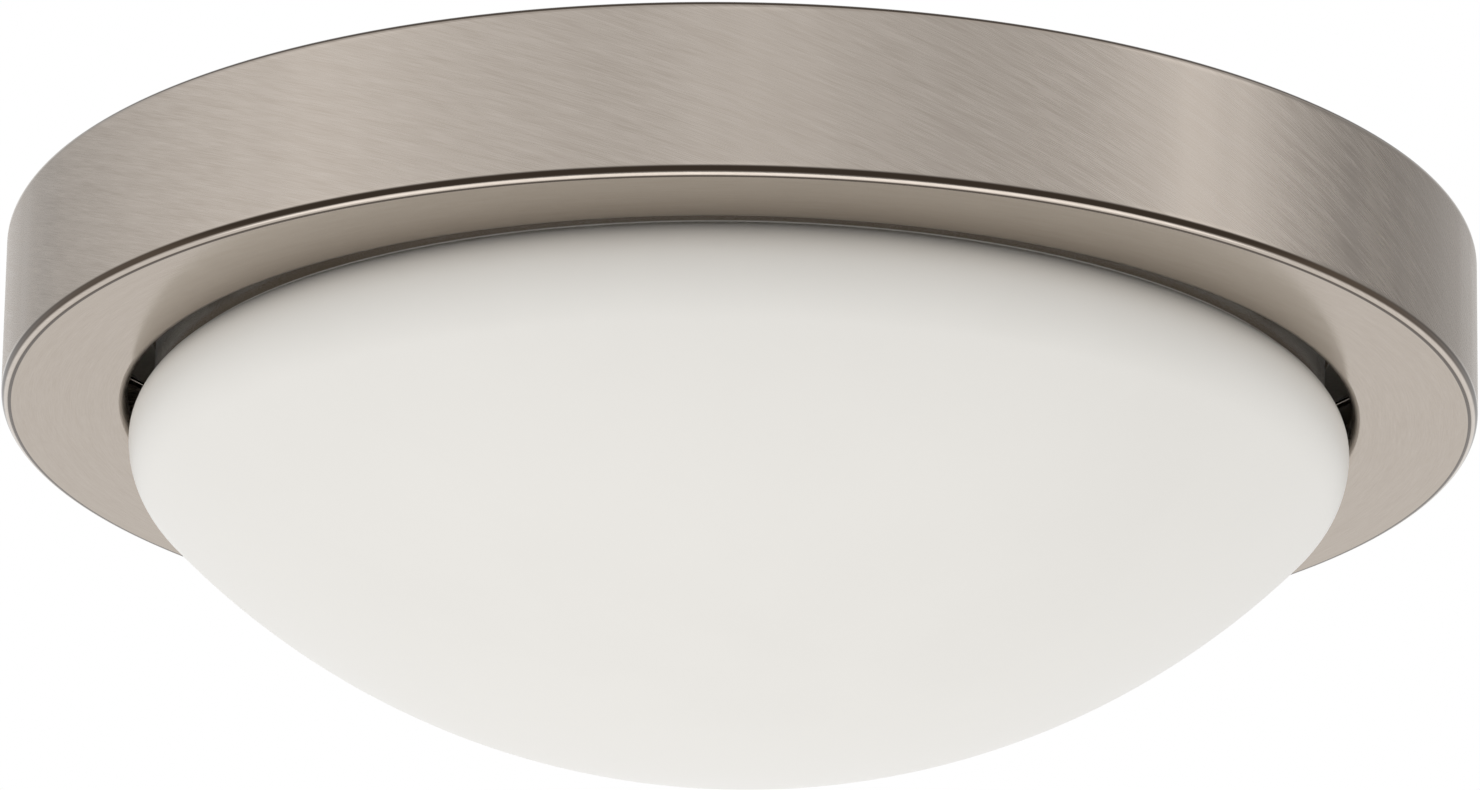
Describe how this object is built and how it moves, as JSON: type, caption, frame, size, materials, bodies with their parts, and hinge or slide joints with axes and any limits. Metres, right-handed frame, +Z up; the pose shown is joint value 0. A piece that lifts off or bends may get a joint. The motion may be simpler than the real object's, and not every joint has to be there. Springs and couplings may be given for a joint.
{
  "type": "flush mount ceiling light",
  "caption": "Round flush mount ceiling light: a brushed nickel drum pan whose opal glass bowl snaps into its opening over screw-base lamps.",
  "frame": {"origin": "centre of the ceiling plane, at the middle of the crossbar's screw slots", "axes": "+Z up into the ceiling, along the light's own axis; +X along the crossbar and the lamps"},
  "size_m": [0.33, 0.33, 0.1156],
  "materials": {
    "brushed_nickel": "brushed satin nickel plate",
    "opal_glass": "satin opal, white all through",
    "white_enamel": "gloss white enamel",
    "zinc_steel": "bright zinc plate",
    "spring_steel": "tempered spring steel",
    "black_nylon": "moulded nylon",
    "mineral_wool": "mineral wool felt",
    "white_silicone": "soft silicone sponge",
    "porcelain": "glazed white porcelain",
    "brass": "bright brass",
    "frosted_glass": "soft white, satin",
    "lamp_aluminium": "drawn aluminium",
    "black_glass": "fused black glass",
    "solder": "soft solder",
    "ivory_phenolic": "moulded phenolic",
    "green_steel": "green dyed plate",
    "black_insulation": "silicone insulation",
    "white_insulation": "silicone insulation"
  },
  "bodies": {
    "fixture": {"pan": "brushed_nickel", "back_plate": "white_enamel", "pan_rivets": "zinc_steel", "wire_bushing": "black_nylon", "insulation_pad": "mineral_wool", "crossbar": "zinc_steel", "fixture_studs": "zinc_steel", "fixture_nuts": "zinc_steel", "shade_gasket": "white_silicone", "shade_clip_1": "spring_steel", "shade_clip_2": "spring_steel", "shade_clip_3": "spring_steel", "clip_rivets": "zinc_steel", "lampholder_1_bracket": "zinc_steel", "lampholder_2_bracket": "zinc_steel", "bracket_rivets": "zinc_steel", "lampholder_1_body": "porcelain", "lampholder_2_body": "porcelain", "lampholder_1_shell": "brass", "lampholder_2_shell": "brass", "lampholder_1_contact": "brass", "lampholder_2_contact": "brass", "lampholder_screws": "zinc_steel", "terminal_block": "ivory_phenolic", "terminal_screws": "brass", "block_screw": "zinc_steel", "ground_screw": "green_steel", "lead_saddle": "zinc_steel", "saddle_rivet": "zinc_steel", "lead_1_live": "black_insulation", "lead_1_neutral": "white_insulation", "lead_2_live": "black_insulation", "lead_2_neutral": "white_insulation"},
    "shade": {"shade_glass": "opal_glass"},
    "lamp_1_tip": {"lamp_1_button": "solder"},
    "lamp_1": {"lamp_1_bulb": "frosted_glass", "lamp_1_cap": "lamp_aluminium", "lamp_1_insulator": "black_glass"},
    "lamp_2_tip": {"lamp_2_button": "solder"},
    "lamp_2": {"lamp_2_bulb": "frosted_glass", "lamp_2_cap": "lamp_aluminium", "lamp_2_insulator": "black_glass"}
  },
  "joints": [
    {"name": "shade_drop", "type": "slide", "parent": "fixture", "child": "shade", "axis": [0, 0, -1], "range_m": [0, 0.12], "deforming": ["shade_clip_1", "shade_clip_2", "shade_clip_3"]},
    {"name": "lamp_1_travel", "type": "slide", "parent": "fixture", "child": "lamp_1_tip", "axis": [1, 0, 0], "range_m": [0, 0.0218]},
    {"name": "lamp_1_turn", "type": "hinge", "parent": "lamp_1_tip", "child": "lamp_1", "pos_m": [0, 0.038, -0.043], "axis": [1, 0, 0], "range_deg": [0, 2160]},
    {"name": "lamp_2_travel", "type": "slide", "parent": "fixture", "child": "lamp_2_tip", "axis": [-1, 0, 0], "range_m": [0, 0.0218]},
    {"name": "lamp_2_turn", "type": "hinge", "parent": "lamp_2_tip", "child": "lamp_2", "pos_m": [0, -0.038, -0.043], "axis": [-1, 0, 0], "range_deg": [0, 2160]}
  ],
  "couplings": [
    {"joint": "lamp_1_travel", "follows": "lamp_1_turn", "m_per_rad": 0.0005775},
    {"joint": "lamp_2_travel", "follows": "lamp_2_turn", "m_per_rad": 0.0005775}
  ]
}
